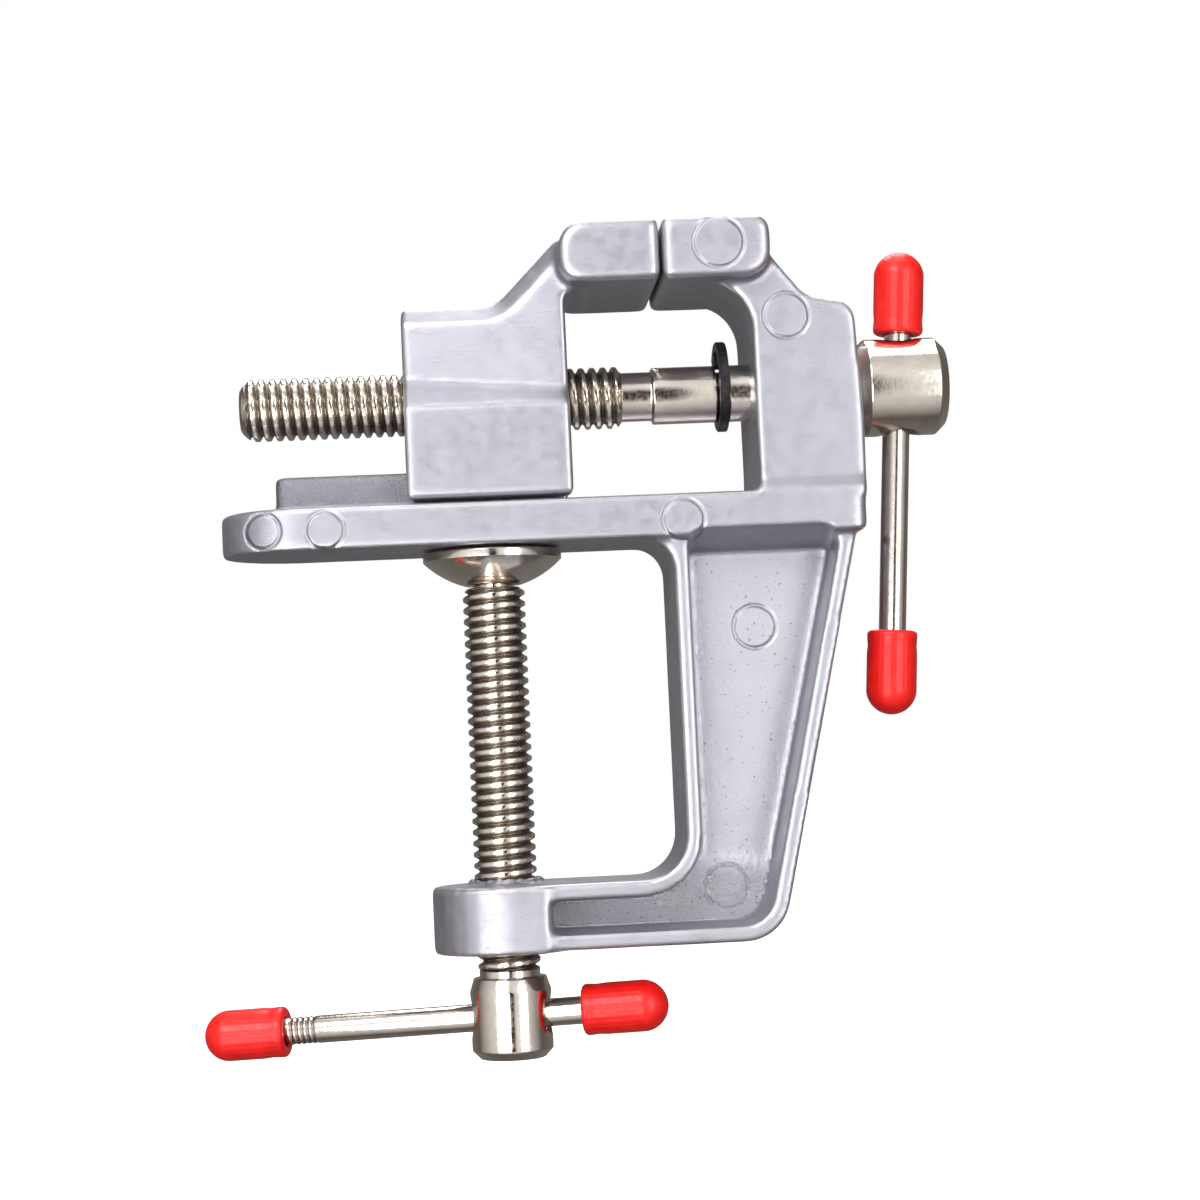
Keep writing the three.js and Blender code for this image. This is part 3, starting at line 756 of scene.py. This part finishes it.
def studio_sky():
    """A studio that is bright in front of the vise and dim behind it, with a narrow dark gap straight in
    front. What the camera sees of it is white."""
    world = bpy.data.worlds.new("studio")
    bpy.context.scene.world = world
    world.use_nodes = True
    tree = world.node_tree

    def node(kind, inputs, **settings):
        made = tree.nodes.new(kind)
        for key, value in settings.items():
            setattr(made, key, value)
        for key, value in inputs.items():
            if isinstance(value, bpy.types.NodeSocket):
                tree.links.new(value, made.inputs[key])
            else:
                made.inputs[key].default_value = value
        return made

    direction = node("ShaderNodeTexCoord", {}).outputs["Generated"]
    front = Vector((-0.16, -0.90, 0.22)).normalized()
    facing = node("ShaderNodeVectorMath", {0: direction, 1: front}, operation="DOT_PRODUCT").outputs["Value"]
    share = node("ShaderNodeMath", {0: facing, 1: 0.5, 2: 0.5}, operation="MULTIPLY_ADD").outputs[0]
    ramp = node("ShaderNodeValToRGB", {0: share})
    stops = ramp.color_ramp.elements
    stops[0].position, stops[0].color = 0.04, (0.19, 0.185, 0.18, 1)
    stops[1].position, stops[1].color = 1.0, (1.0, 1.0, 1.0, 1)
    for position, colour in ((0.42, (0.12, 0.11, 0.105, 1)), (0.72, (0.66, 0.65, 0.65, 1))):
        stops.new(position).color = colour

    flat = node("ShaderNodeVectorMath", {0: direction, 1: (1.0, 0.0, 0.3)}, operation="MULTIPLY").outputs[0]
    away = node("ShaderNodeVectorMath", {0: flat}, operation="LENGTH").outputs["Value"]
    limits = {"From Min": 0.10, "From Max": 0.18, "To Min": 1.0, "To Max": 0.0}
    gap = node("ShaderNodeMapRange", {"Value": away, **limits}).outputs["Result"]
    ahead = node("ShaderNodeMath", {0: facing, 1: 0.0}, operation="GREATER_THAN").outputs[0]
    gap_ahead = node("ShaderNodeMath", {0: gap, 1: ahead}, operation="MULTIPLY").outputs[0]
    gap_colour = (0.03, 0.025, 0.022, 1)
    sky = node("ShaderNodeMix", {0: gap_ahead}, data_type="RGBA")
    tree.links.new(ramp.outputs["Color"], sky.inputs[6])
    sky.inputs[7].default_value = gap_colour

    seen = node("ShaderNodeLightPath", {}).outputs["Is Camera Ray"]
    white = (1, 1, 1, 1)
    backdrop = node("ShaderNodeMix", {0: seen}, data_type="RGBA")
    tree.links.new(sky.outputs[2], backdrop.inputs[6])
    backdrop.inputs[7].default_value = white
    background = next(n for n in tree.nodes if n.type == "BACKGROUND")
    tree.links.new(backdrop.outputs[2], background.inputs["Color"])
    background.inputs["Strength"].default_value = 1.0


def softbox(name, place, size, watts):
    light = bpy.data.lights.new(name, "AREA")
    light.shape, light.size, light.size_y, light.energy = "RECTANGLE", size[0], size[1], watts
    lamp = bpy.data.objects.new(name, light)
    lamp.location = place
    target = Vector((0.006, 0, -0.012))
    lamp.rotation_euler = (target - Vector(place)).to_track_quat("-Z", "Y").to_euler()
    bpy.context.scene.collection.objects.link(lamp)


def camera():
    azimuth, elevation, roll = (math.radians(a) for a in (3.486, 3.640, -2.622))
    forward = Vector(
        (
            math.sin(azimuth) * math.cos(elevation),
            math.cos(azimuth) * math.cos(elevation),
            math.sin(elevation),
        )
    )
    right = Vector((math.cos(azimuth), -math.sin(azimuth), 0))
    up = right.cross(forward)
    turned_right = math.cos(roll) * right + math.sin(roll) * up
    turned_up = math.cos(roll) * up - math.sin(roll) * right
    data = bpy.data.cameras.new("camera")
    data.lens, data.sensor_width = 74.03, 36
    data.clip_start = 0.01
    eye = bpy.data.objects.new("camera", data)
    eye.matrix_world = Matrix.Translation(Vector((-5.63, -315.45, -27.14)) * MM) @ Matrix(
        (
            (turned_right.x, turned_up.x, -forward.x),
            (turned_right.y, turned_up.y, -forward.y),
            (turned_right.z, turned_up.z, -forward.z),
        )
    ).to_4x4()
    bpy.context.scene.collection.objects.link(eye)
    bpy.context.scene.camera = eye


floor()
studio_sky()
softbox("key", (-0.25, -0.45, 0.36), (0.30, 0.26), 2.2)
softbox("fill", (0.34, -0.50, 0.02), (0.22, 0.6), 1.8)
softbox("low", (-0.22, -0.50, -0.16), (0.34, 0.4), 2.4)
softbox("back", (0.05, 0.30, 0.46), (0.35, 0.3), 1.7)
softbox("top", (0.02, -0.04, 0.60), (0.45, 0.30), 1.0)
camera()
bpy.context.scene.view_settings.view_transform = "Standard"
